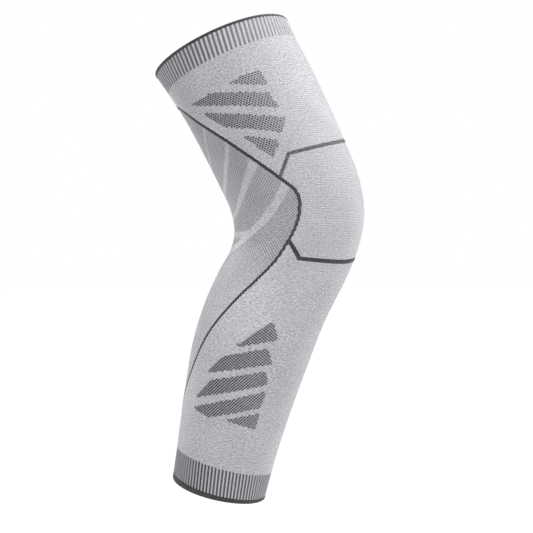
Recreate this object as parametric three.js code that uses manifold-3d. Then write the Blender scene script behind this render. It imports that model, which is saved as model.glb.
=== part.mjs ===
import * as THREE from 'three';
import { LoftGeometry } from 'three/addons/geometries/LoftGeometry.js';
import { mergeVertices } from 'three/addons/utils/BufferGeometryUtils.js';
import Module from 'manifold-3d';

// A full-leg compression sleeve in its worn form, with the knee a little bent: one knitted tube with a
// ribbed cuff and a dark welt at each end, a knee panel and a back panel edged by dark knitted lines, and
// slanted open-knit vents on both sides of the thigh and the calf.
// Millimetres, +Z up, +X to the front of the knee, +Y to the left side, the origin in the knee's middle.

// Driving dimensions
const wall = 2; // knitted wall
const gap = 0.3; // left between neighbouring pieces
const facetsAround = 24; // of the plain walls
const ringStep = 48; // between rings of the plain walls
const knee = { level: 208, reach: 60, step: 17 }; // where the rings lie closer
const ribs = 92; // round each cuff
const ribDepth = 0.9;
const edgeSwell = 0.4; // how far the welts stand out of the cuffs
const edgeFacets = 30;
const lineWidth = 3.4;
const lineStep = 16; // between sections of a dark line
const ventStep = 17; // between sections of a vent
const lineCut = 1.5; // reach of a line's cutter past each face of the wall
const ventCut = 3; // reach of a vent's cutter
const kneeLineBow = 4; // power of a knee line's bow
const degreeArc = 1.15; // length of one degree round the sleeve, on average

// Levels along the sleeve's centre line, measured down from the thigh rim
const thighEdgeEnd = 2.6;
const thighCuffEnd = 25.2;
const ankleCuffStart = 465;
const ankleEdgeStart = 491;

// The sleeve's back and front outline in its middle plane as [x, z], from the thigh rim to the ankle rim.
// The taper is how much narrower the front of a section is than its back.
const sections = [
  { at: 'thigh rim', back: [-150, 148], front: [-12, 208], width: 142, taper: -0.04 },
  { at: 'thigh cuff', back: [-138, 131], front: [-3, 189], width: 141, taper: -0.04 },
  { at: 'upper thigh', back: [-118, 100], front: [13, 158], width: 136, taper: -0.04 },
  { at: 'lower thigh', back: [-97.5, 61.5], front: [34, 114.5], width: 127, taper: -0.03 },
  { at: 'above knee', back: [-81.5, 29.5], front: [53, 71], width: 119, taper: -0.02 },
  { at: 'knee top', back: [-71.5, 7.5], front: [65.5, 37], width: 115, taper: 0 },
  { at: 'knee', back: [-67.5, -15], front: [70, -0.5], width: 113, taper: 0.02 },
  { at: 'knee bottom', back: [-71.5, -35], front: [63, -35], width: 112, taper: 0.05 },
  { at: 'below knee', back: [-83.5, -57], front: [49, -69], width: 112, taper: 0.08 },
  { at: 'upper calf', back: [-98.5, -90], front: [28.5, -110], width: 114, taper: 0.1 },
  { at: 'mid calf', back: [-111, -130.5], front: [10.5, -156], width: 112, taper: 0.1 },
  { at: 'lower calf', back: [-118.5, -174], front: [-5.5, -199.5], width: 106, taper: 0.08 },
  { at: 'shin', back: [-124.5, -216], front: [-20, -242.5], width: 102, taper: 0.06 },
  { at: 'ankle cuff', back: [-128.5, -247], front: [-28.5, -272], width: 101, taper: 0.05 },
  { at: 'ankle rim', back: [-133, -278.5], front: [-35, -296.5], width: 101, taper: 0.04 },
];

// Knit patterns are laid out by angle in degrees, from 0 at the front to 180 at the back, and level along
// the sleeve. Each is repeated on the other side.
const backLinePath = [
  { angle: 180, along: 38 },
  { angle: 166, along: 46 },
  { angle: 149, along: 68.5 },
  { angle: 131, along: 96.5 },
  { angle: 112.5, along: 132 },
  { angle: 96.3, along: 164 },
  { angle: 90.5, along: 184 },
  { angle: 93.3, along: 200 },
  { angle: 100, along: 229.5 },
  { angle: 106, along: 256 },
  { angle: 121.5, along: 294.5 },
  { angle: 138, along: 333 },
  { angle: 155, along: 380 },
  { angle: 180, along: 430 },
];
// Each knee line bows from its level at the front to its corners, and runs from there to the back line
const kneeLines = [
  {
    name: 'upper_knee_line',
    front: 138.2,
    corner: { angle: 85.3, along: 136.9 },
    meets: { angle: 99.7, along: 157.2 },
  },
  {
    name: 'lower_knee_line',
    front: 244.6,
    corner: { angle: 84.2, along: 242.7 },
    meets: { angle: 98.6, along: 223.3 },
  },
];
const thighVents = [
  { upperFront: [77.5, 53], upperBack: [102, 51], lowerBack: [102, 53.4], lowerFront: [76.5, 69] },
  { upperFront: [78.5, 74.5], upperBack: [121, 49.3], lowerBack: [144.5, 49.7], lowerFront: [76.5, 92.6] },
  { upperFront: [75, 104], upperBack: [136, 64.4], lowerBack: [125, 87], lowerFront: [83.5, 115.5] },
  { upperFront: [88, 121.7], upperBack: [112.5, 104.4], lowerBack: [113, 105.8], lowerFront: [97.7, 135.8] },
];
const calfVents = [
  { upperFront: [80.5, 311], upperBack: [104.5, 340], lowerBack: [103, 341], lowerFront: [70, 328] },
  { upperFront: [77, 337], upperBack: [116, 354], lowerBack: [127, 375.3], lowerFront: [67.5, 352.3] },
  { upperFront: [72, 361], upperBack: [120.5, 380.5], lowerBack: [135.5, 403], lowerFront: [65, 373.3] },
  { upperFront: [65, 380.4], upperBack: [138, 415.8], lowerBack: [115, 418.2], lowerFront: [65.3, 397.4] },
  { upperFront: [64.7, 403], upperBack: [96.8, 415.9], lowerBack: [96.4, 417.2], lowerFront: [65, 420] },
];

const wasm = await Module();
wasm.setup();

// The sleeve's form: splines through the section table

const planePoint = ([x, z]) => new THREE.Vector2(x, z);
const backEdge = new THREE.SplineCurve(sections.map((row) => planePoint(row.back)));
const frontEdge = new THREE.SplineCurve(sections.map((row) => planePoint(row.front)));
const girth = new THREE.SplineCurve(sections.map((row) => new THREE.Vector2(row.width, row.taper)));
const centreLine = new THREE.SplineCurve(
  sections.map((row) => planePoint(row.back).lerp(planePoint(row.front), 0.5)),
);
const sleeveLength = centreLine.getLength();

// A point of the sleeve, a given depth in from its outer face. Angles grow from the front to the right.
function pointOn(angle, along, depth) {
  const t = centreLine.getUtoTmapping(0, along);
  const back = backEdge.getPoint(t);
  const front = frontEdge.getPoint(t);
  const { x: width, y: taper } = girth.getPoint(t);
  const turn = THREE.MathUtils.degToRad(angle);
  const halfLength = back.distanceTo(front) / 2 - depth;
  const halfWidth = width / 2 - depth;
  const forward = front.clone().sub(back).normalize();
  const middle = back.lerp(front, 0.5).addScaledVector(forward, halfLength * Math.cos(turn));
  const aside = halfWidth * Math.sin(turn) * (1 - taper * Math.cos(turn));
  return new THREE.Vector3(middle.x, -aside, middle.y);
}

// A closed ring-shaped wall: its profile runs down the outside and back up the inside. Every second point
// of a ribbed profile row lies in a groove.
function knitTube(profile, around) {
  const rings = profile.map(({ along, depth, groove = 0 }) =>
    Array.from({ length: around }, (_, i) =>
      pointOn((360 * i) / around, along, depth + (i % 2) * groove),
    ),
  );
  return new LoftGeometry([...rings, rings[0]], { closed: true });
}

function ringLevels(from, to) {
  const levels = [from];
  while (levels.at(-1) < to) {
    const last = levels.at(-1);
    const nearKnee = Math.abs(last - knee.level) < knee.reach;
    const next = last + (nearKnee ? knee.step : ringStep);
    levels.push(to - next < ringStep / 2 ? to : next);
  }
  return levels;
}

function plainWall(from, to) {
  const levels = ringLevels(from, to);
  const outside = levels.map((along) => ({ along, depth: 0 }));
  const inside = levels.toReversed().map((along) => ({ along, depth: wall }));
  return knitTube([...outside, ...inside], facetsAround);
}

function ribbedCuff(from, to) {
  const profile = [
    { along: from, depth: 0, groove: ribDepth },
    { along: to, depth: 0, groove: ribDepth },
    { along: to, depth: wall },
    { along: from, depth: wall },
  ];
  return knitTube(profile, 2 * ribs);
}

// A welt with a rounded outside, standing a little out of its cuff
function roundedEdge(from, to) {
  const round = Math.min(wall / 2, (to - from) / 3);
  const profile = [
    { along: from + round, depth: -edgeSwell },
    { along: to - round, depth: -edgeSwell },
    { along: to, depth: round - edgeSwell },
    { along: to, depth: wall },
    { along: from, depth: wall },
    { along: from, depth: round - edgeSwell },
  ];
  return knitTube(profile, edgeFacets);
}

// Solids for cutting and their way back to geometry

function solid(geometry) {
  const bare = new THREE.BufferGeometry();
  bare.setAttribute('position', geometry.getAttribute('position'));
  bare.setIndex(geometry.getIndex());
  const merged = mergeVertices(bare);
  const vertProperties = Float32Array.from(merged.attributes.position.array);
  const triVerts = Uint32Array.from(merged.index.array);
  return new wasm.Manifold(new wasm.Mesh({ numProp: 3, vertProperties, triVerts }));
}

function geometryOf(body) {
  const { vertProperties, triVerts } = body.getMesh();
  const geometry = new THREE.BufferGeometry();
  geometry.setAttribute('position', new THREE.BufferAttribute(vertProperties, 3));
  geometry.setIndex(new THREE.BufferAttribute(triVerts, 1));
  return geometry;
}

// A flat strip along a path of { angle, along } rows, mitred at its bends: as thick as the wall, or more by
// a reach past each of its faces
function knitStrip(path, width, reach, loop) {
  const count = path.length;
  const middles = path.map(({ angle, along }) => pointOn(angle, along, wall / 2));
  const strips = path.map(({ angle, along }, i) => {
    const middle = middles[i];
    const before = middles[loop ? (i + count - 1) % count : Math.max(i - 1, 0)];
    const after = middles[loop ? (i + 1) % count : Math.min(i + 1, count - 1)];
    const arriving = middle.clone().sub(before).normalize();
    const leaving = after.clone().sub(middle).normalize();
    const heading = arriving.clone().add(leaving).normalize();
    const mitre = 1 / Math.max(heading.dot(arriving), heading.dot(leaving));
    const out = pointOn(angle, along, 0).sub(pointOn(angle, along, wall));
    out.addScaledVector(heading, -out.dot(heading)).setLength(wall / 2 + reach);
    const aside = new THREE.Vector3().crossVectors(heading, out).setLength((width / 2) * mitre);
    return [
      middle.clone().sub(aside).add(out),
      middle.clone().add(aside).add(out),
      middle.clone().add(aside).sub(out),
      middle.clone().sub(aside).sub(out),
    ];
  });
  const rings = loop ? [...strips, strips[0]] : strips;
  return new LoftGeometry(rings, { closed: true, capStart: !loop, capEnd: !loop });
}

const mirrored = ({ angle, along }) => ({ angle: -angle, along });

function backLineLoop() {
  const path = new THREE.SplineCurve(backLinePath.map((row) => new THREE.Vector2(row.angle, row.along)));
  const steps = Math.round(path.getLength() / lineStep);
  const right = path.getSpacedPoints(steps).map((point) => ({ angle: point.x, along: point.y }));
  const left = right.slice(1, -1).toReversed().map(mirrored);
  return [...right, ...left];
}

function kneeLinePath({ front, corner, meets }) {
  const steps = Math.round((2 * corner.angle * degreeArc) / lineStep);
  const acrossFront = Array.from({ length: steps + 1 }, (_, i) => {
    const side = 1 - (2 * i) / steps;
    return {
      angle: side * corner.angle,
      along: THREE.MathUtils.lerp(front, corner.along, Math.abs(side) ** kneeLineBow),
    };
  });
  return [meets, ...acrossFront, mirrored(meets)];
}

// A vent's outline with every side moved out by a distance
function grown(vent, by) {
  const names = ['upperFront', 'upperBack', 'lowerBack', 'lowerFront'];
  const corners = names.map((name) => new THREE.Vector2(vent[name][0] * degreeArc, vent[name][1]));
  const moved = corners.map((corner, i) => {
    const arriving = corner.clone().sub(corners.at(i - 1)).normalize();
    const leaving = corners[(i + 1) % corners.length].clone().sub(corner).normalize();
    const outOfArriving = new THREE.Vector2(arriving.y, -arriving.x);
    const outward = new THREE.Vector2(leaving.y, -leaving.x).add(outOfArriving).normalize();
    return corner.clone().addScaledVector(outward, by / outward.dot(outOfArriving));
  });
  return Object.fromEntries(names.map((name, i) => [name, [moved[i].x / degreeArc, moved[i].y]]));
}

// A slanted bar of the wall, from its front end to its back end, on the right (side 1) or left (side -1)
function ventBar({ upperFront, upperBack, lowerBack, lowerFront }, side, reach) {
  const length = Math.max(upperBack[0] - upperFront[0], lowerBack[0] - lowerFront[0]) * degreeArc;
  const steps = Math.ceil(length / ventStep);
  const pointAt = (t, down, depth) => {
    const upper = new THREE.Vector2(...upperFront).lerp(new THREE.Vector2(...upperBack), t);
    const lower = new THREE.Vector2(...lowerFront).lerp(new THREE.Vector2(...lowerBack), t);
    const { x: angle, y: along } = upper.lerp(lower, down);
    return pointOn(side * angle, along, depth);
  };
  const bars = Array.from({ length: steps + 1 }, (_, i) => {
    const inside = [0, 0.5, 1].map((down) => pointAt(i / steps, down, wall + reach));
    const outside = [1, 0.5, 0].map((down) => pointAt(i / steps, down, -reach));
    const bar = [...inside, ...outside];
    return side > 0 ? bar : bar.toReversed();
  });
  return new LoftGeometry(bars, { closed: true, capStart: true, capEnd: true });
}

// Materials

const knit = { roughness: 0.95, metalness: 0 };
const greyKnit = new THREE.MeshStandardMaterial({ name: 'grey_knit', color: 0xb4b4b8, ...knit });
const ribKnit = new THREE.MeshStandardMaterial({ name: 'rib_knit', color: 0x87878b, ...knit });
const meshKnit = new THREE.MeshStandardMaterial({ name: 'back_knit', color: 0x98989c, ...knit });
const ventKnit = new THREE.MeshStandardMaterial({ name: 'vent_knit', color: 0x7a7a7d, ...knit });
const darkKnit = new THREE.MeshStandardMaterial({ name: 'dark_knit', color: 0x3a3a3c, ...knit });

const sleeve = new THREE.Group();
sleeve.name = 'compression_sleeve';

function addPiece(name, geometry, material) {
  const mesh = new THREE.Mesh(geometry, material);
  mesh.name = name;
  sleeve.add(mesh);
}

// Cuffs and welts
addPiece('thigh_edge', roundedEdge(0, thighEdgeEnd - gap), darkKnit);
addPiece('thigh_cuff', ribbedCuff(thighEdgeEnd, thighCuffEnd - gap), ribKnit);
addPiece('ankle_cuff', ribbedCuff(ankleCuffStart + gap, ankleEdgeStart - gap), ribKnit);
addPiece('ankle_edge', roundedEdge(ankleEdgeStart, sleeveLength), darkKnit);

// The dark lines, and the room they leave in the wall between the cuffs
const backLoop = backLineLoop();
const backLineRoom = solid(knitStrip(backLoop, lineWidth + 2 * gap, lineCut, true));
let walls = solid(plainWall(thighCuffEnd, ankleCuffStart)).subtract(backLineRoom);
addPiece('back_line', knitStrip(backLoop, lineWidth, 0, true), darkKnit);
for (const line of kneeLines) {
  const path = kneeLinePath(line);
  const strip = solid(knitStrip(path, lineWidth, 0, false)).subtract(backLineRoom);
  const [acrossFront] = strip.decompose().toSorted((a, b) => b.volume() - a.volume());
  addPiece(line.name, geometryOf(acrossFront), darkKnit);
  walls = walls.subtract(solid(knitStrip(path, lineWidth + 2 * gap, lineCut, false)));
}

// The vents, in windows cut through the wall
const ventRows = [
  { zone: 'thigh', vents: thighVents },
  { zone: 'calf', vents: calfVents },
];
for (const { zone, vents } of ventRows) {
  for (const [name, side] of [['right', 1], ['left', -1]]) {
    vents.forEach((vent, i) => {
      addPiece(`${zone}_vent_${name}_${i + 1}`, ventBar(vent, side, 0), ventKnit);
      walls = walls.subtract(solid(ventBar(grown(vent, gap), side, ventCut)));
    });
  }
}

// The lines divide the wall into four panels, each known by how far it reaches
const panels = walls.decompose();
const furthest = (reachOf) =>
  panels.toSorted((a, b) => reachOf(b.boundingBox()) - reachOf(a.boundingBox()))[0];
addPiece('thigh_wall', geometryOf(furthest(({ max }) => max[2])), greyKnit);
addPiece('knee_panel', geometryOf(furthest(({ max }) => max[0])), greyKnit);
addPiece('back_panel', geometryOf(furthest(({ max }) => -max[0])), meshKnit);
addPiece('calf_wall', geometryOf(furthest(({ min }) => -min[2])), greyKnit);

export default sleeve;
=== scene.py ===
from bisect import bisect_right
from math import ceil, cos, exp, floor, hypot, pi, radians, sin

import bmesh
import bpy
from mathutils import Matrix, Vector


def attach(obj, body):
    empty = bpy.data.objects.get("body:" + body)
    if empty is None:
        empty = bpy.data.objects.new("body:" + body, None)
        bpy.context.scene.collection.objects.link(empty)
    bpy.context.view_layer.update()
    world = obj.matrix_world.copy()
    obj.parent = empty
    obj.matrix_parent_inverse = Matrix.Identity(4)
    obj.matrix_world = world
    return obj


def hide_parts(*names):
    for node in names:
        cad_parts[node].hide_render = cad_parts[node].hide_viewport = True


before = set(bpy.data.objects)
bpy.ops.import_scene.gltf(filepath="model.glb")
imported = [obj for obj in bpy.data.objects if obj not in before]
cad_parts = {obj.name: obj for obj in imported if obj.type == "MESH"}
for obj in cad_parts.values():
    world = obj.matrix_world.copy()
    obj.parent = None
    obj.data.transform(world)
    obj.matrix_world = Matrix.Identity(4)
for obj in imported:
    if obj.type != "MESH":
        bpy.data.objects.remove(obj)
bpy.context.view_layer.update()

mm = 0.001

# The knit: by level at the sides in mm, the courses down to it and how much lower each is at the front;
# by zone, needles round the tube, wales that it runs aside in each mm and how much finer its courses are
knit = {
    "wall": 2.0, "merge": 0.01,  # mm
    "courses": [(0, 0), (130, 64), (160, 77.5), (245, 113.5), (300, 142), (510, 282)],
    "lean": [(0, 0), (25, 1), (45, 5), (65, 11), (165, 12.5), (215, 4), (250, -3), (320, -10), (430, -11),
             (465, -8), (510, 0)],
    "leanRounds": 6,  # to find the level at the sides
    "plain": (276, 0.0, 1.0), "back": (288, 0.0, 1.43),
    "thighVent": (294, 0.04, 1.0), "calfVent": (225, 0.15, 1.0),
}

# The worn form, section by section: back x, back z, front x, front z, width, taper
sleeveForm = {
    "sections": [
        (-150, 148, -12, 208, 142, -0.04),  # thigh rim
        (-138, 131, -3, 189, 141, -0.04),  # thigh cuff
        (-118, 100, 13, 158, 136, -0.04),  # upper thigh
        (-97.5, 61.5, 34, 114.5, 127, -0.03),  # lower thigh
        (-81.5, 29.5, 53, 71, 119, -0.02),  # above the knee
        (-71.5, 7.5, 65.5, 37, 115, 0),  # knee top
        (-67.5, -15, 70, -0.5, 113, 0.02),  # knee
        (-71.5, -35, 63, -35, 112, 0.05),  # knee bottom
        (-83.5, -57, 49, -69, 112, 0.08),  # below the knee
        (-98.5, -90, 28.5, -110, 114, 0.1),  # upper calf
        (-111, -130.5, 10.5, -156, 112, 0.1),  # middle of the calf
        (-118.5, -174, -5.5, -199.5, 106, 0.08),  # lower calf
        (-124.5, -216, -20, -242.5, 102, 0.06),  # shin
        (-128.5, -247, -28.5, -272, 101, 0.05),  # ankle cuff
        (-133, -278.5, -35, -296.5, 101, 0.04),  # ankle rim
    ],
    "steps": 40,  # of the length table, between two sections
}


def lookUp(table, x):  # straight between the rows of a two-column table
    row = min(max(bisect_right(table, (x,)) - 1, 0), len(table) - 2)
    (x0, y0), (x1, y1) = table[row], table[row + 1]
    return y0 + (y1 - y0) * (x - x0) / (x1 - x0)


def smoothRow(rows, place):  # a curve through the rows of a table
    last = len(rows) - 1
    i = min(max(int(place), 0), last - 1)
    f = place - i
    near = zip(rows[max(i - 1, 0)], rows[i], rows[i + 1], rows[min(i + 2, last)])
    return [
        b + f * ((c - a) / 2 + f * (a - 2.5 * b + 2 * c - d / 2 + f * (1.5 * (b - c) + (d - a) / 2)))
        for a, b, c, d in near
    ]


def measureForm():  # length along the middle against the place in the section table
    table, along, before = [], 0.0, None
    steps = sleeveForm["steps"]
    for k in range(steps * (len(sleeveForm["sections"]) - 1) + 1):
        backX, backZ, frontX, frontZ = smoothRow(sleeveForm["sections"], k / steps)[:4]
        here = Vector((backX + frontX, backZ + frontZ)) / 2
        along += (here - before).length if before else 0
        table.append((along, k / steps))
        before = here
    return table


lengthTable = measureForm()
sleeveLength = lengthTable[-1][0]
sectionsSeen = {}


def sectionAt(level):  # the section at a length from the thigh rim
    key = round(level, 4)
    if key not in sectionsSeen:
        sectionsSeen[key] = smoothRow(sleeveForm["sections"], lookUp(lengthTable, level))
    return sectionsSeen[key]


# Angle 0 is the front, 90 the right side and 180 the back; proud is the height over the form in mm
def formPoint(angle, level, proud=0.0):
    backX, backZ, frontX, frontZ, width, taper = sectionAt(level)
    depth = hypot(frontX - backX, frontZ - backZ)
    turn = radians(angle)
    reach = (0.5 + proud / depth) * cos(turn)
    x = (backX + frontX) / 2 + (frontX - backX) * reach
    z = (backZ + frontZ) / 2 + (frontZ - backZ) * reach
    y = -(width / 2 + proud) * sin(turn) * (1 - taper * cos(turn))
    return Vector((x, y, z)) * mm


def leanedLevel(angle, level):  # level at an angle of the course that passes the sides at a level
    return level + lookUp(knit["lean"], level) * cos(radians(angle))


def sideLevel(angle, level):  # the other way round
    side = level
    for _ in range(knit["leanRounds"]):
        side = level - lookUp(knit["lean"], side) * cos(radians(angle))
    return side


def stitchOf(angle, level, zone="plain"):  # knit coordinates: wales round, courses along
    needles, aside, fine = knit[zone]
    side = sideLevel(angle, level)
    return angle / 360 * needles + aside * side, lookUp(knit["courses"], side) * fine


print("sleeve form:", round(sleeveLength, 1), "mm along")


# Nodes of a material
def addNode(tree, kind, sockets=None, **settings):
    node = tree.nodes.new(kind)
    for key, value in settings.items():
        setattr(node, key, value)
    for key, value in (sockets or {}).items():
        if isinstance(value, bpy.types.NodeSocket):
            tree.links.new(value, node.inputs[key])
        else:
            node.inputs[key].default_value = value
    return node


def sums(tree, operation, *values):
    return addNode(tree, "ShaderNodeMath", dict(enumerate(values)), operation=operation).outputs[0]


def blend(tree, share, first, second):  # of two colours
    node = addNode(tree, "ShaderNodeMix", data_type="RGBA")
    for socket, value in zip((node.inputs[0], node.inputs[6], node.inputs[7]), (share, first, second)):
        if isinstance(value, bpy.types.NodeSocket):
            tree.links.new(value, socket)
        else:
            socket.default_value = value if isinstance(value, float) else (*value, 1)
    return node.outputs[2]


def ease(tree, value, low, high, outLow=0.0, outHigh=1.0):
    sockets = {"Value": value, "From Min": low, "From Max": high, "To Min": outLow, "To Max": outHigh}
    return addNode(tree, "ShaderNodeMapRange", sockets, interpolation_type="SMOOTHSTEP").outputs[0]


# What all the yarns share
yarns = {"cool": 1.065, "specular": 0.2, "sheenRoughness": 0.5, "slant": 0.9}


def grey(tone):  # a yarn's colour, slightly cool
    return tone, tone, tone * yarns["cool"]


class KnitMaterial:  # a fabric shader with stitch coordinates, filled in by each finish below
    def __init__(self, name, sheen):
        self.material = bpy.data.materials.new(name)
        self.material.use_nodes = True
        self.tree = self.material.node_tree
        self.shader = self.tree.nodes["Principled BSDF"]
        self.shader.inputs["Sheen Weight"].default_value = sheen
        self.shader.inputs["Sheen Roughness"].default_value = yarns["sheenRoughness"]
        self.shader.inputs["Specular IOR Level"].default_value = yarns["specular"]
        uv = addNode(self.tree, "ShaderNodeUVMap", uv_map="knit").outputs[0]
        split = addNode(self.tree, "ShaderNodeSeparateXYZ", {0: uv})
        self.wale, self.course = split.outputs[0], split.outputs[1]

    def spread(self, waleScale, courseScale, seed=0.0):  # knit coordinates, stretched
        sockets = {
            0: sums(self.tree, "MULTIPLY", self.wale, waleScale),
            1: sums(self.tree, "MULTIPLY", self.course, courseScale),
            2: seed,
        }
        return addNode(self.tree, "ShaderNodeCombineXYZ", sockets).outputs[0]

    def streaks(self, waleScale, courseScale, seed=0.0, detail=2.0):
        sockets = {"Vector": self.spread(waleScale, courseScale, seed), "Scale": 1.0, "Detail": detail}
        return addNode(self.tree, "ShaderNodeTexNoise", sockets).outputs[0]

    def stitchDice(self, seed=0.0):  # one even chance for each stitch
        place = self.spread(1.0, 1.0, seed)
        cell = addNode(self.tree, "ShaderNodeVectorMath", {0: place}, operation="FLOOR").outputs[0]
        return addNode(self.tree, "ShaderNodeTexWhiteNoise", {"Vector": cell}).outputs[0]

    def stitchLoops(self):  # height of the two arms of each stitch, a V in its wale
        tree = self.tree
        side = sums(tree, "ABSOLUTE", sums(tree, "SUBTRACT", sums(tree, "FRACT", self.wale), 0.5))
        slant = sums(tree, "MULTIPLY_ADD", side, yarns["slant"], self.course)
        wave = sums(tree, "SINE", sums(tree, "MULTIPLY", slant, 2 * pi))
        row = sums(tree, "MULTIPLY_ADD", wave, 0.5, 0.5)
        arm = sums(tree, "SINE", sums(tree, "MULTIPLY", side, 2 * pi))
        return sums(tree, "MULTIPLY", row, arm)

    def written(self, title):  # a value written on the blank's points
        return addNode(self.tree, "ShaderNodeAttribute", attribute_name=title).outputs["Fac"]

    def finish(self, colour, height, roughness, bump):
        tree = self.tree
        sockets = {"Height": height, "Strength": bump["strength"], "Distance": bump["depth"] * mm}
        tree.links.new(addNode(tree, "ShaderNodeBump", sockets).outputs[0], self.shader.inputs["Normal"])
        tree.links.new(colour, self.shader.inputs["Base Color"])
        tree.links.new(roughness, self.shader.inputs["Roughness"])
        return self.material


# Light heather knit of the thigh, knee and calf: rows of yarn with a grain, and painted light and shade in
# paler and darker patches
plainFinish = {
    "dark": 0.26, "light": 0.66, "sheen": 0.5, "roughness": (0.95, 0.8),
    "bump": {"strength": 0.5, "depth": 0.35, "streaks": (0.35, 1.5), "streaky": 0.7},
    "grain": {"scales": ((0.8, 1.15), (0.46, 1.15)), "weights": (1.25, 1.75), "courses": (70.0, 150.0)},
    "rows": {"weights": (0.28, 0.22, 0.42),  # of the thigh, calf and ankle
             "knee": (80.0, 108.0), "shin": (200.0, 240.0),  # courses between them
             "drift": (0.08, 0.12), "waver": 0.6, "fade": (0.28, 0.3), "fadeRange": (0.3, 0.7)},
    "keen": {"weight": 1.35, "courses": (50.0, 80.0), "wales": (55.0, 90.0)},  # at the back of the thigh
    "cloud": {"scale": (0.05, 0.07), "weight": 0.3, "middle": 0.4},
    "fleck": {"tone": 0.3, "from": 0.85, "weight": 0.25},
    "paintedLightShade": [  # angle, level, reach of both and amount of each patch of painted light and shade, paler above 0 and darker below
        (155, 35, 30, 65, -0.32), (125, 123, 14, 22, -0.18), (127, 270, 40, 62, 0.3),
        (150, 240, 16, 26, 0.44), (70, 235, 35, 60, -0.09), (50, 360, 14, 30, -0.07),
        (108, 326, 18, 16, 0.08), (93, 255, 14, 14, -0.06), (20, 450, 26, 60, 0.1),
        (128, 236, 20, 12, 0.06), (130, 160, 12, 22, -0.07), (80, 162, 10, 14, 0.06),
        (92, 311, 14, 10, 0.06), (158, 405, 15, 50, 0.12), (25, 45, 22, 35, -0.07),
        (125, 292, 14, 16, -0.06), (122, 458, 14, 14, -0.07),
    ],
}


# painted light and shade: a tone factor by angle and level, alike on both sides
def paintedLightShadeTone(angle, level):
    side = 180 - abs(180 - angle % 360)
    return 1 + sum(
        amount * exp(-((side - midAngle) / angleReach) ** 2 - ((level - midLevel) / levelReach) ** 2)
        for midAngle, midLevel, angleReach, levelReach, amount in plainFinish["paintedLightShade"]
    )


def courseRows(surface):  # -1 to 1 over each course, wavering and fading along it
    tree, rows = surface.tree, plainFinish["rows"]
    place = sums(tree, "MULTIPLY_ADD", surface.streaks(*rows["drift"], 1.0), rows["waver"], surface.course)
    wave = sums(tree, "SINE", sums(tree, "MULTIPLY", place, 2 * pi))
    fade = ease(tree, surface.streaks(*rows["fade"], 3.0, 0.0), *rows["fadeRange"])
    return sums(tree, "MULTIPLY", wave, fade)


def heatherGrain(surface):  # short above the knee, long below it
    tree, grain = surface.tree, plainFinish["grain"]
    short, long = (
        sums(tree, "SUBTRACT", surface.streaks(*scale, 7.0, 1.0), 0.5) for scale in grain["scales"]
    )
    upper = ease(tree, surface.course, *grain["courses"], grain["weights"][0], 0.0)
    lower = ease(tree, surface.course, *grain["courses"], 0.0, grain["weights"][1])
    return sums(tree, "MULTIPLY_ADD", long, lower, sums(tree, "MULTIPLY", short, upper))


def heatherColour(surface):
    tree, course = surface.tree, surface.course
    rows, keen, cloud, fleck = (plainFinish[part] for part in ("rows", "keen", "cloud", "fleck"))
    thigh, calf, ankle = rows["weights"]
    rowed = ease(tree, course, *rows["knee"], thigh, ease(tree, course, *rows["shin"], calf, ankle))
    yarn = sums(tree, "MULTIPLY_ADD", courseRows(surface), rowed, heatherGrain(surface))
    onThigh = ease(tree, course, *keen["courses"], keen["weight"], 1.0)
    contrast = ease(tree, sums(tree, "ABSOLUTE", surface.wale), *keen["wales"], 1.0, onThigh)
    clouds = surface.streaks(*cloud["scale"], 5.0)
    base = sums(tree, "MULTIPLY_ADD", clouds, cloud["weight"], cloud["middle"])
    mix = sums(tree, "MULTIPLY_ADD", yarn, contrast, base)
    plain = blend(tree, mix, grey(plainFinish["dark"]), grey(plainFinish["light"]))
    flecks = ease(tree, surface.stitchDice(2.0), fleck["from"], 1.0, 0.0, fleck["weight"])
    # the colour is scaled by the painted light and shade written on the points
    sockets = {0: blend(tree, flecks, plain, grey(fleck["tone"])), "Scale": surface.written("paintedLightShade")}
    return addNode(tree, "ShaderNodeVectorMath", sockets, operation="SCALE").outputs[0]


def makePlainKnit():
    surface = KnitMaterial("plainHeather", plainFinish["sheen"])
    tree, bump = surface.tree, plainFinish["bump"]
    colour = heatherColour(surface)
    loops = surface.stitchLoops()
    height = sums(tree, "MULTIPLY_ADD", surface.streaks(*bump["streaks"], 1.0), bump["streaky"], loops)
    return surface.finish(colour, height, ease(tree, loops, 0.0, 1.0, *plainFinish["roughness"]), bump)


# Dark and light checked knit of the vents
ventFinish = {
    "dark": 0.025, "light": 0.44, "sheen": 0.15, "roughness": (0.9, 0.8),
    "bump": {"strength": 0.7, "depth": 0.5, "loops": 0.5},
    "slant": (161, 222, 0.42, 0.72),  # courses of the calf, and share of the rising slant before and after
    "knee": (80.0, 140.0),  # courses between the vents of the thigh and the calf
    "weave": (0.65, 1.0), "rows": (0.35, 0.0), "lift": (0.0, -0.1),  # above and below the knee
    "soft": 0.45,  # edges of the check
    "check": 0.9, "wear": 0.2,  # weights of the check and of each stitch's chance
    "backwardDarkening": {"from": 92, "thigh": 0.006, "calf": 0.0034},  # angle from which the vent grows darker towards the back and lighter towards the front, tone taken off in a degree
}


def checkWeave(surface, slant):  # below 0 on the dark stitches, above it on the light ones
    tree = surface.tree
    rise = sums(tree, "MULTIPLY", sums(tree, "SUBTRACT", surface.wale, surface.course), pi)
    fall = sums(tree, "MULTIPLY", sums(tree, "ADD", surface.wale, surface.course), pi)
    rising = sums(tree, "MULTIPLY", sums(tree, "COSINE", rise), slant)
    falling = sums(tree, "MULTIPLY", sums(tree, "COSINE", fall), sums(tree, "SUBTRACT", 1.0, slant))
    return sums(tree, "SUBTRACT", rising, falling)


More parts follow.
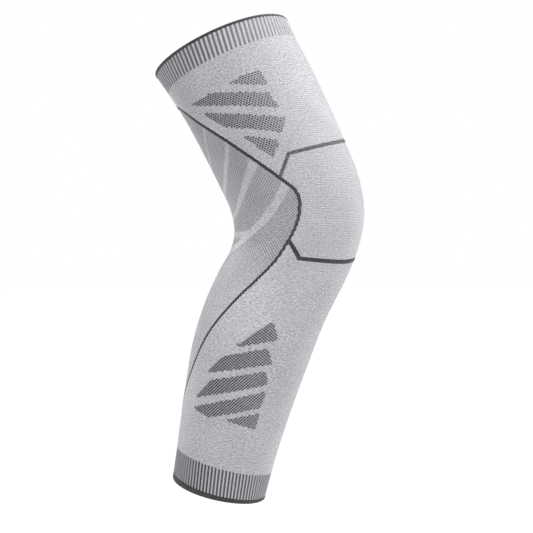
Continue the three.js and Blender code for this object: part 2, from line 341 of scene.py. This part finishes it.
def makeVentKnit():
    surface = KnitMaterial("checkedVent", ventFinish["sheen"])
    tree, bump, soft = surface.tree, ventFinish["bump"], ventFinish["soft"]
    weight, rows, lift = (
        ease(tree, surface.course, *ventFinish["knee"], *ventFinish[part])
        for part in ("weave", "rows", "lift")
    )
    weave = checkWeave(surface, ease(tree, surface.course, *ventFinish["slant"]))
    weave = sums(tree, "MULTIPLY", weave, weight)
    wave = sums(tree, "COSINE", sums(tree, "MULTIPLY", surface.course, 2 * pi))
    check = ease(tree, sums(tree, "MULTIPLY_ADD", wave, rows, weave), -soft, soft)
    worn = sums(tree, "MULTIPLY_ADD", check, ventFinish["check"], lift)
    wear = sums(tree, "MULTIPLY_ADD", surface.stitchDice(3.0), ventFinish["wear"], worn)
    # darker towards the back, lighter towards the front, by the value written on the points
    shown = sums(tree, "SUBTRACT", wear, surface.written("backwardDarkening"))
    colour = blend(tree, shown, grey(ventFinish["dark"]), grey(ventFinish["light"]))
    height = sums(tree, "MULTIPLY_ADD", surface.stitchLoops(), bump["loops"], check)
    return surface.finish(colour, height, ease(tree, check, 0.0, 1.0, *ventFinish["roughness"]), bump)


# Finer bird's-eye knit of the back panel, with plain rays
backFinish = {
    "dark": 0.12, "eyes": 0.75, "soft": 0.35, "even": 0.5, "sheen": 0.25, "roughness": (0.85, 0.95),
    "bump": {"strength": 0.5, "depth": 0.3, "loops": 0.6},
}


def makeBackKnit():
    surface = KnitMaterial("birdsEyeBack", backFinish["sheen"])
    tree, bump, soft = surface.tree, backFinish["bump"], backFinish["soft"]
    eye = ease(tree, checkWeave(surface, backFinish["even"]), -soft, soft, 1.0, 0.0)
    hole = sums(tree, "MULTIPLY", eye, surface.written("mesh"))
    plain = heatherColour(surface)
    colour = blend(tree, sums(tree, "MULTIPLY", hole, backFinish["eyes"]), plain, grey(backFinish["dark"]))
    height = sums(tree, "SUBTRACT", sums(tree, "MULTIPLY", surface.stitchLoops(), bump["loops"]), hole)
    return surface.finish(colour, height, ease(tree, hole, 0.0, 1.0, *backFinish["roughness"]), bump)


# Rib knit of the cuffs: light ribs over dark grooves. The tables go by wale from the front: front and
# back say where the ribs' contrast drops and how much is left, painted light that washes them out at the
# lit front and flattens them at the back edge; shade is painted shade added to the tone, darker towards
# the back
ribFinish = {
    "thigh": {"count": 98, "depth": 0.5, "twist": 0.18,
              "groove": 0.12, "rib": 0.55, "edges": (0.13, 0.35),
              "front": (30, 75, 0.45), "back": (115, 135, 0.8), "shade": (62, 115, 0.0, -0.51)},
    "ankle": {"count": 88, "depth": 0.9, "twist": -0.09,
              "groove": 0.045, "rib": 0.54, "edges": (0.19, 0.41),
              "front": (24, 46, 0.4), "back": (86, 106, 0.25), "shade": (62, 100, 0.02, -0.16)},
    "crown": (0.12, 0.24),  # where the side of a rib starts and how long it is, in ribs
    "streaks": (0.5, 0.6), "streaky": 0.3, "clean": 0.85,
    "sheen": 0.35, "roughness": (0.95, 0.82), "bump": {"strength": 0.5, "depth": 0.4, "loops": 0.5},
}


def makeRibKnit(end):
    surface = KnitMaterial(end + "Rib", ribFinish["sheen"])
    tree, finish, bump = surface.tree, ribFinish[end], ribFinish["bump"]
    phase = sums(tree, "FRACT", sums(tree, "MULTIPLY", surface.wale, finish["count"] / knit["plain"][0]))
    crest = sums(tree, "ABSOLUTE", sums(tree, "SUBTRACT", phase, 0.5))
    rib = ease(tree, crest, *finish["edges"])
    # painted light and shade by side: less contrast at the lit front, darker towards the back
    aside = sums(tree, "ABSOLUTE", surface.wale)
    first, last, dull = finish["back"]
    clear = ease(tree, aside, *finish["front"], ease(tree, aside, first, last, 1.0, dull))
    middle = sums(tree, "ADD", ease(tree, aside, *finish["shade"]), 0.5)
    seen = sums(tree, "MULTIPLY_ADD", sums(tree, "SUBTRACT", rib, 0.5), clear, middle)
    clean = sums(tree, "MULTIPLY", seen, ribFinish["clean"])
    streaks = surface.streaks(*ribFinish["streaks"], 4.0)
    worn = sums(tree, "MULTIPLY_ADD", streaks, ribFinish["streaky"], clean)
    colour = blend(tree, worn, grey(finish["groove"]), grey(finish["rib"]))
    height = sums(tree, "MULTIPLY_ADD", surface.stitchLoops(), bump["loops"], rib)
    return surface.finish(colour, height, ease(tree, rib, 0.0, 1.0, *ribFinish["roughness"]), bump)


# Charcoal knit of the edges and lines, with the slant of its yarns, and a copy of it painted lighter as
# painted light
darkFinish = {
    "charcoal": (0.016, 0.085), "paintedLightCharcoal": (0.04, 0.19),  # tones of the yarns; the second is the charcoal painted lighter, painted light where the light falls
    "chance": 0.5, "twist": 0.5,  # weights in their mix
    "sheen": 0.15, "roughness": (0.95, 0.8), "bump": {"strength": 0.6, "depth": 0.35, "loops": 0.6},
}


def makeDarkKnit(shade):
    surface = KnitMaterial(shade + "Knit", darkFinish["sheen"])
    tree, bump = surface.tree, darkFinish["bump"]
    slant = sums(tree, "ADD", surface.wale, surface.course)
    twist = sums(tree, "MULTIPLY_ADD", sums(tree, "SINE", sums(tree, "MULTIPLY", slant, pi)), 0.5, 0.5)
    # the tone added on the points: even on the knee lines and ankle edge, painted light and shade on the
    # back line and thigh edge
    dice, toneAndPaintedLightShade = surface.stitchDice(6.0), surface.written("toneAndPaintedLightShade")
    mixed = sums(tree, "MULTIPLY_ADD", dice, darkFinish["chance"], toneAndPaintedLightShade)
    yarn = sums(tree, "MULTIPLY_ADD", twist, darkFinish["twist"], mixed)
    dark, light = darkFinish[shade]
    colour = blend(tree, yarn, grey(dark), grey(light))
    height = sums(tree, "MULTIPLY_ADD", surface.stitchLoops(), bump["loops"], twist)
    return surface.finish(colour, height, ease(tree, twist, 0.0, 1.0, *darkFinish["roughness"]), bump)


plainKnit, ventKnit, backKnit = makePlainKnit(), makeVentKnit(), makeBackKnit()
charcoalKnit, paintedLightKnit = makeDarkKnit("charcoal"), makeDarkKnit("paintedLightCharcoal")
print("materials: plain, vent, back, charcoal, faded")


# A flat blank laid on the form: place gives angle, level and height for a share across and down,
# keep says which faces stay, and values are written on its points for the finishes
def layBlank(across, down, place, keep=None, values=None, zone="plain"):
    blank = bmesh.new()
    bmesh.ops.create_grid(blank, x_segments=across, y_segments=down, size=0.5)
    uv = blank.loops.layers.uv.new("knit")
    spots = [place(v.co.x + 0.5, v.co.y + 0.5) for v in blank.verts]
    if keep:
        outside = [f for f in blank.faces if not keep(f.calc_center_median() + Vector((0.5, 0.5, 0)))]
    for face in blank.faces:
        face.smooth = True
        for loop in face.loops:
            spot = spots[loop.vert.index]
            loop[uv].uv = spot[3] if len(spot) > 3 else stitchOf(spot[0], spot[1], zone)
    for title, value in (values or {}).items():
        layer = blank.verts.layers.float.new(title)
        for vert, spot in zip(blank.verts, spots):
            vert[layer] = value(spot[0], spot[1])
    for vert, spot in zip(blank.verts, spots):
        vert.co = formPoint(*spot[:3])
    if keep:
        bmesh.ops.delete(blank, geom=outside, context="FACES")
    bmesh.ops.remove_doubles(blank, verts=blank.verts, dist=knit["merge"] * mm)
    for edge in blank.edges:
        edge.smooth = not edge.is_boundary
    return blank


def makePiece(name, blank, material, wall=0.0):
    mesh = bpy.data.meshes.new(name + "_knit")
    blank.to_mesh(mesh)
    blank.free()
    mesh.materials.append(material)
    piece = bpy.data.objects.new(name + "_knit", mesh)
    bpy.context.scene.collection.objects.link(piece)
    if wall:
        thick = piece.modifiers.new("wall", "SOLIDIFY")
        thick.thickness, thick.offset = wall * mm, -1
    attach(piece, "root")
    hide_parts(name)


# Dark lines of the pattern: angle and level of the points they pass on the right side, and by level
# their width in mm and what is added to their tone, painted shade at the top of the back line and painted
# light at its nose
backLine = {
    "path": [(180, 38), (166, 46), (149, 68.5), (131, 96.5), (112.5, 132), (96.3, 164), (91.7, 172.6),
             (90.2, 183.7), (92.4, 200), (100, 229.5), (106, 256), (121.5, 294.5), (138, 333), (155, 380),
             (180, 430)],
    "nose": 6.88,  # place in the path of the point nearest the front
    "widths": [(38, 2.6), (55, 3.2), (150, 3.3), (185, 3.6), (240, 3.3), (300, 2.9), (400, 2.4),
               (430, 0.8)],
    "toneAndPaintedLightShade": [(38, -0.3), (100, -0.25), (150, -0.1), (172, 0.1), (185, 0.4), (210, 0.4), (235, 0.15),
             (430, 0.15)],
    "rise": 0.25, "step": 0.8, "yarn": charcoalKnit,
    "branchSteps": 160, "edgeSteps": 320, "lineSteps": 700,
}
kneeLines = {  # each bows from its level at the front to its corner
    "upper": {"front": 138.2, "tuck": 2.0, "corner": (85.3, 136.9), "meets": (99.7, 157.2),
              "widths": [(137, 3.4), (157, 3.4)], "toneAndPaintedLightShade": [(137, 0.1), (157, 0.1)],
              # its yarn is the charcoal painted lighter: painted light on the line that faces the light
              "rise": 0.25, "step": 0.5, "yarn": paintedLightKnit},
    "lower": {"front": 244.8, "tuck": 3.7, "corner": (84.2, 242.7), "meets": (98.6, 223.3),
              "widths": [(223, 3.5), (243, 4.0)], "toneAndPaintedLightShade": [(223, 0.0), (243, 0.0)],
              "rise": 0.25, "step": 0.5, "yarn": charcoalKnit},
    "bow": 4,  # power of the bow
    "tucked": 26,  # degrees over which the front rides up
    "steps": (2, 20),  # along each stretch: in a degree, and added
}


def pathTable(first, last, steps):
    return [smoothRow(backLine["path"], first + (last - first) * k / steps) for k in range(steps + 1)]


def branchTable(first, last):  # level by angle
    return sorted((angle, level) for angle, level in pathTable(first, last, backLine["branchSteps"]))


lastPoint = len(backLine["path"]) - 1
upperBranch = branchTable(0, backLine["nose"])
lowerBranch = branchTable(backLine["nose"], lastPoint)
backEdge = [(level, angle) for angle, level in pathTable(0, lastPoint, backLine["edgeSteps"])]


def kneeBow(line, angle):  # how far the front of a knee line lies below its corners
    share = (abs(angle) / line["corner"][0]) ** kneeLines["bow"]
    tuck = line["tuck"] * exp(-(angle / kneeLines["tucked"]) ** 2)
    return (line["front"] - line["corner"][1]) * (1 - share) - tuck


def kneeBorder(line, branch, angle):  # level of the thigh's or calf's border with the knee and back panels
    side = abs(angle)
    if side <= line["corner"][0]:
        return line["corner"][1] + kneeBow(line, angle)
    if side <= line["meets"][0]:
        return lookUp([line["corner"], line["meets"]], side)
    return lookUp(branch, side)


def kneeReach(level):  # half angle of the knee panel
    upper, lower = kneeLines["upper"], kneeLines["lower"]
    if level < upper["meets"][1]:
        return lookUp([upper["corner"][::-1], upper["meets"][::-1]], level)
    if level > lower["meets"][1]:
        return lookUp([lower["meets"][::-1], lower["corner"][::-1]], level)
    return lookUp(backEdge, level)


# Ends of the sleeve: middle level of each border, how much lower it is at the front, and at front and
# back alike, and by angle what is added to the edge's tone: painted light at the front of the thigh edge,
# an even tone round the ankle edge
ends = {
    "thigh": {"rim": (-1.3, 1.7, 0.85), "edge": (2.2, 0.8, 0.65), "wall": (23.5, 0.8, 0.0),
              "toneAndPaintedLightShade": [(0, 0.6), (45, 0.45), (100, 0.0), (180, 0.0)]},
    "ankle": {"rim": (sleeveLength - 1.4, 2.2, 0.0), "edge": (492.2, 3.0, 0.0), "wall": (465.8, 1.3, 0.0),
              "toneAndPaintedLightShade": [(0, 0.1), (180, 0.1)]},
    "overlap": 0.2, "ribColumns": 8, "cuffRows": 8, "edgeColumns": 276, "edgeRows": 14, "edgeSwell": 0.35,
    "edgePowers": (0.7, 0.6), "edgeCourse": 1.2,  # roundness of an edge's section, mm in a course of it
}


def endBorder(end, border, angle):
    level, lower, both = ends[end][border]
    turn = radians(angle)
    return level + lower * cos(turn) + both * cos(2 * turn)


# Plain walls of the thigh, knee and calf
walls = {"columns": 184, "thighRows": 60, "kneeRows": 60, "kneeColumns": 96, "calfRows": 110}


def makeThighWall():
    def place(across, down):
        angle = 360 * across - 180
        hem = kneeBorder(kneeLines["upper"], upperBranch, angle)
        top = endBorder("thigh", "wall", angle)
        return angle, top + (hem - top) * down, 0.0
    blank = layBlank(walls["columns"], walls["thighRows"], place, values={"paintedLightShade": paintedLightShadeTone})
    makePiece("thigh_wall", blank, plainKnit, knit["wall"])


def makeKneePanel():
    upper, lower = kneeLines["upper"], kneeLines["lower"]
    top, end = upper["corner"][1], lower["corner"][1]

    def place(across, down):
        level = top + (end - top) * down
        angle = (2 * across - 1) * kneeReach(level)
        bow = kneeBow(upper, angle) * (1 - down) ** 2 + kneeBow(lower, angle) * down ** 2
        return angle, level + bow, 0.0
    blank = layBlank(walls["kneeColumns"], walls["kneeRows"], place, values={"paintedLightShade": paintedLightShadeTone})
    makePiece("knee_panel", blank, plainKnit, knit["wall"])


def makeCalfWall():
    def place(across, down):
        angle = 360 * across - 180
        top = kneeBorder(kneeLines["lower"], lowerBranch, angle)
        hem = endBorder("ankle", "wall", angle)
        return angle, top + (hem - top) * down, 0.0
    blank = layBlank(walls["columns"], walls["calfRows"], place, values={"paintedLightShade": paintedLightShadeTone})
    makePiece("calf_wall", blank, plainKnit, knit["wall"])


# Back panel: plain rays fan out over the mesh, each a path of angle and level with its height in mm
# at both ends
backPanel = {
    "columns": 120, "rows": 230,
    "rays": [
        ([(140, 70), (147.8, 80.3), (158.6, 100.9), (166.6, 110.9), (180, 122)], (5.5, 5.5)),
        ([(124, 95), (136.9, 118), (153, 140), (169.8, 152.8), (180, 157)], (9, 8)),
        ([(108, 125.5), (124.1, 145.3), (140.2, 164.1), (156.2, 181), (180, 193)], (15.5, 4)),
        ([(96, 163.5), (108.1, 181), (124.1, 199.9), (140.2, 214.3), (156.2, 228.4), (180, 240)],
         (13.5, 10.5)),
        ([(138, 213), (150, 211.5), (180, 211)], (8, 8)),
    ],
    "soft": 1.0,  # mm over which a ray meets the mesh
    "fade": [(95, 256), (125, 226), (180, 212)],  # angle and level where the mesh starts to grow plain
    "fadeLength": 60, "fadeShare": 0.85,
}


def meshShare(angle, level):
    side = 180 - abs(180 - angle)
    past = (level - lookUp(backPanel["fade"], side)) / backPanel["fadeLength"]
    share = 1 - backPanel["fadeShare"] * min(max(past, 0), 1)
    for path, heights in backPanel["rays"]:
        front, back = path[0][0], path[-1][0]
        if front <= side <= back:
            height = lookUp([(front, heights[0]), (back, heights[1])], side)
            off = abs(level - lookUp(path, side)) - height / 2
            share *= min(max(off / backPanel["soft"] + 0.5, 0), 1)
    return share


def makeBackPanel():
    top, end = backLine["path"][0][1], backLine["path"][-1][1]

    def place(across, down):
        level = top + (end - top) * down
        reach = 180 - lookUp(backEdge, level)
        return 180 + (2 * across - 1) * reach, level, 0.0
    blank = layBlank(backPanel["columns"], backPanel["rows"], place, zone="back",
                     values={"mesh": meshShare, "paintedLightShade": paintedLightShadeTone})
    makePiece("back_panel", blank, backKnit, knit["wall"])


# A dark line knitted along a path of angle and level, its edges stepped stitch by stitch: rows of faces
# across it, power of its rounding, width in mm of its full rise, least rise and size of its stitches
lineKnit = {"rows": 6, "power": 4, "fullWidth": 2.4, "least": 0.03, "stitch": (1.6, 1.2)}


def makeLine(name, path, line):
    steps = len(path) - 1
    wale = 360 / knit["plain"][0]
    along = 0.0
    lengths = [0.0]
    for (a0, l0), (a1, l1) in zip(path, path[1:]):
        along += (formPoint(a1, l1) - formPoint(a0, l0)).length / mm
        lengths.append(along)

    def place(across, down):
        k = round(across * steps)
        angle, level = path[k]
        before, after = path[max(k - 1, 0)], path[min(k + 1, steps)]
        arc = (formPoint(angle + 1, level) - formPoint(angle - 1, level)).length / 2 / mm  # mm in a degree
        run = Vector(((after[0] - before[0]) * arc, after[1] - before[1])).normalized()
        width = lookUp(line["widths"], level)
        offset = (down - 0.5) * width
        swell = line["rise"] * (1 - (2 * down - 1) ** lineKnit["power"])
        rise = swell * min(width / lineKnit["fullWidth"], 1) + lineKnit["least"]
        stitch = lengths[k] / lineKnit["stitch"][0], offset / lineKnit["stitch"][1]
        stepped = angle + line["step"] * (round(angle / wale) * wale - angle)
        return stepped - run.y * offset / arc, level + run.x * offset, rise, stitch

    def toneAndPaintedLightShade(angle, level):
        return lookUp(line["toneAndPaintedLightShade"], level)
    blank = layBlank(steps, lineKnit["rows"], place, values={"toneAndPaintedLightShade": toneAndPaintedLightShade})
    makePiece(name, blank, line["yarn"], knit["wall"])


def kneePath(line):  # from the right end of a knee line to its left end
    stops = [line["meets"][0], line["corner"][0], -line["corner"][0], -line["meets"][0]]
    inDegree, added = kneeLines["steps"]
    angles = []
    for first, last in zip(stops, stops[1:]):
        steps = round(abs(last - first) * inDegree) + added
        angles += [first + (last - first) * k / steps for k in range(steps)]
    return [(angle, kneeBorder(line, upperBranch, angle)) for angle in angles + stops[-1:]]


def makeLines():
    right = pathTable(0, lastPoint, backLine["lineSteps"])
    left = [(360 - angle, level) for angle, level in reversed(right)]
    makeLine("back_line", right + left[1:], backLine)
    makeLine("upper_knee_line", kneePath(kneeLines["upper"])[::-1], kneeLines["upper"])
    makeLine("lower_knee_line", kneePath(kneeLines["lower"]), kneeLines["lower"])


# Vent bars: angle and level of the corners upper front, upper back, lower back and lower front
vents = {
    "thigh": [
        [(77.5, 53), (104.6, 50.2), (104.2, 52.2), (76.2, 69.3)],
        [(78.5, 76.3), (121, 51.3), (145.5, 50.2), (76.5, 92.6)],
        [(75, 104), (138.3, 63), (125.3, 86.4), (83.5, 115.5)],
        [(87.4, 122.2), (112.8, 104.2), (113.3, 105.6), (97.9, 135.7)],
    ],
    "calf": [
        [(80.8, 310), (105.6, 341.2), (104.2, 342.2), (70, 328)],
        [(77, 337.5), (115.5, 355.3), (127.5, 375.5), (67.5, 352.3)],
        [(72, 361), (120.5, 380.5), (138, 404.2), (65, 373.3)],
        [(65, 380.2), (139.5, 415), (116, 418.6), (65.3, 397.4)],
        [(64.7, 403), (96.8, 415.9), (96.4, 417.2), (65, 420)],
    ],
    "proud": 0.2,
}


def insideBar(corners, angle, level):
    inside = False
    for (a0, l0), (a1, l1) in zip(corners, corners[1:] + corners[:1]):
        if (l0 > level) != (l1 > level) and angle < a0 + (a1 - a0) * (level - l0) / (l1 - l0):
            inside = not inside
    return inside


def makeVent(name, zone, corners, side):
    needles, aside, _ = knit[zone + "Vent"]
    levels = [(row, level) for level, row in knit["courses"]]
    wales, courses = zip(*[stitchOf(angle, level, zone + "Vent") for angle, level in corners])
    waleFirst, courseFirst = floor(min(wales)), floor(min(courses))
    waleCount, courseCount = ceil(max(wales)) - waleFirst, ceil(max(courses)) - courseFirst

    def spot(across, down):
        wale, row = waleFirst + across * waleCount, courseFirst + down * courseCount
        level = lookUp(levels, row)
        angle = (wale - aside * level) * 360 / needles
        return angle, leanedLevel(angle, level), vents["proud"], (wale, row)

    def keep(centre):
        return insideBar(corners, *spot(centre.x, centre.y)[:2])

    def backwardDarkening(angle, level):
        return (angle - ventFinish["backwardDarkening"]["from"]) * ventFinish["backwardDarkening"][zone]
    blank = layBlank(waleCount, courseCount, spot, keep, {"backwardDarkening": backwardDarkening})
    loose = [f for f in blank.faces if sum(e.is_boundary for e in f.edges) > 2]
    bmesh.ops.delete(blank, geom=loose, context="FACES")
    if side < 0:
        bmesh.ops.scale(blank, vec=(1, -1, 1), verts=blank.verts)
        bmesh.ops.reverse_faces(blank, faces=blank.faces)
    makePiece(name, blank, ventKnit, knit["wall"] + vents["proud"] * 2)


def makeVents():
    for zone in ("thigh", "calf"):
        for number, corners in enumerate(vents[zone], 1):
            makeVent(f"{zone}_vent_right_{number}", zone, corners, 1)
            makeVent(f"{zone}_vent_left_{number}", zone, corners, -1)


# Ribbed cuffs and the dark edges at both ends
def ribHeight(angle, end):
    phase = angle / 360 * ribFinish[end]["count"] % 1
    start, length = ribFinish["crown"]
    crest = min(max((abs(phase - 0.5) - start) / length, 0), 1)
    return ribFinish[end]["depth"] * (crest * crest * (3 - 2 * crest) - 1)


def makeCuff(end):
    def place(across, down):
        angle = 360 * across - 180
        top, foot = sorted(endBorder(end, border, angle) for border in ("edge", "wall"))
        level = top + (foot - top) * down + ends["overlap"] * (2 * down - 1)
        turned = angle + ribFinish[end]["twist"] * (foot - top) * (down - 0.5)
        return turned, level, ribHeight(angle, end), stitchOf(angle, level)
    blank = layBlank(ribFinish[end]["count"] * ends["ribColumns"], ends["cuffRows"], place)
    wall = knit["wall"] - ribFinish[end]["depth"] / 2
    makePiece(end + "_cuff", blank, makeRibKnit(end), wall)


def makeEdge(end):
    swell = ends["edgeSwell"]

    def place(across, down):
        turn = 2 * pi * down
        lift, fall = (
            abs(way) ** power * (1 if way > 0 else -1)
            for way, power in zip((sin(turn), cos(turn)), ends["edgePowers"])
        )
        angle = 360 * across - 180
        top, foot = sorted(endBorder(end, border, angle) for border in ("rim", "edge"))
        level = (top + foot) / 2 - (foot - top) / 2 * fall
        height = lift * (knit["wall"] / 2 + swell) - knit["wall"] / 2 - swell / 2
        return angle, level, height, (stitchOf(angle, level)[0], level / ends["edgeCourse"] + lift)

    def toneAndPaintedLightShade(angle, level):
        return lookUp(ends[end]["toneAndPaintedLightShade"], abs(angle))
    blank = layBlank(ends["edgeColumns"], ends["edgeRows"], place, values={"toneAndPaintedLightShade": toneAndPaintedLightShade})
    makePiece(end + "_edge", blank, charcoalKnit)


makeThighWall()
makeKneePanel()
makeCalfWall()
makeBackPanel()
print("panels: thigh, knee, calf, back")
makeLines()
makeVents()
print("pattern: lines and vents")
for end in ("thigh", "ankle"):
    makeCuff(end)
    makeEdge(end)
print("ends: cuffs and edges")

# Floor, light and camera
studio = {
    "floor": {"level": -0.62, "size": 40.0, "tone": 0.9, "glow": 0.77, "far": (0.1, 1.2)},
    "sky": {"seen": 1.0, "light": 0.29},
    "lamps": [  # name, place, aim, size and watts
        ("key", (0.5, -0.55, 0.65), (0, 0, 0.08), 0.6, 2.1),
        ("near", (0.3, -0.22, 0.42), (0, 0, 0.1), 0.3, 1.4),
        ("side", (0.5, 0.05, 0.62), (0, 0, 0.1), 0.5, 2.5),
        ("rim", (-0.55, 0.42, 0.33), (-0.11, 0, -0.1), 0.4, 1.3),
        ("back", (-0.42, 0.7, 0.2), (-0.1, 0, -0.05), 0.3, 1.5),
        ("fill", (-0.46, -0.4, -0.2), (-0.09, 0, -0.16), 0.25, 0.72),
    ],
    "camera": {"place": (-33.4, -848, -52.5), "focal": 800, "frame": 533, "sensor": 36, "near": 0.01},
}


def makeFloor():
    plan = studio["floor"]
    roll = bmesh.new()
    bmesh.ops.create_grid(roll, x_segments=1, y_segments=1, size=plan["size"] / 2)
    bmesh.ops.translate(roll, vec=(0, 0, plan["level"]), verts=roll.verts)
    mesh = bpy.data.meshes.new("floor")
    roll.to_mesh(mesh)
    roll.free()
    paper = bpy.data.materials.new("paper")
    paper.use_nodes = True
    tree = paper.node_tree
    shader = tree.nodes["Principled BSDF"]
    shader.inputs["Base Color"].default_value = (*[plan["tone"]] * 3, 1)
    shader.inputs["Roughness"].default_value = 1.0
    shader.inputs["Emission Color"].default_value = (1, 1, 1, 1)
    place = addNode(tree, "ShaderNodeTexCoord").outputs["Object"]
    away = addNode(tree, "ShaderNodeVectorMath", {0: place}, operation="LENGTH").outputs["Value"]
    glow = ease(tree, away, *plan["far"], 0.0, plan["glow"])
    tree.links.new(glow, shader.inputs["Emission Strength"])
    mesh.materials.append(paper)
    floorPiece = bpy.data.objects.new("floor", mesh)
    bpy.context.scene.collection.objects.link(floorPiece)


def makeSky():  # seen as white, and a softer light on the knit
    world = bpy.data.worlds.new("studio")
    world.use_nodes = True
    tree = world.node_tree
    seen = addNode(tree, "ShaderNodeLightPath").outputs["Is Camera Ray"]
    sky = studio["sky"]
    strength = ease(tree, seen, 0.0, 1.0, sky["light"], sky["seen"])
    tree.links.new(strength, tree.nodes["Background"].inputs["Strength"])
    tree.nodes["Background"].inputs["Color"].default_value = (1, 1, 1, 1)
    bpy.context.scene.world = world


def makeLamps():
    for name, place, aim, size, watts in studio["lamps"]:
        lamp = bpy.data.lights.new(name, "AREA")
        lamp.size, lamp.energy = size, watts
        holder = bpy.data.objects.new(name, lamp)
        holder.location = place
        holder.rotation_euler = (Vector(aim) - Vector(place)).to_track_quat("-Z", "Y").to_euler()
        bpy.context.scene.collection.objects.link(holder)


def makeCamera():
    view = studio["camera"]
    camera = bpy.data.cameras.new("camera")
    camera.sensor_width = view["sensor"]
    camera.lens = view["sensor"] * view["focal"] / view["frame"]
    camera.clip_start = view["near"]
    holder = bpy.data.objects.new("camera", camera)
    holder.location = Vector(view["place"]) * mm
    holder.rotation_euler = (radians(90), 0, 0)
    bpy.context.scene.collection.objects.link(holder)
    bpy.context.scene.camera = holder


makeFloor()
makeSky()
makeLamps()
makeCamera()
bpy.context.scene.view_settings.view_transform = "Standard"
print("studio: floor, sky, lamps, camera")
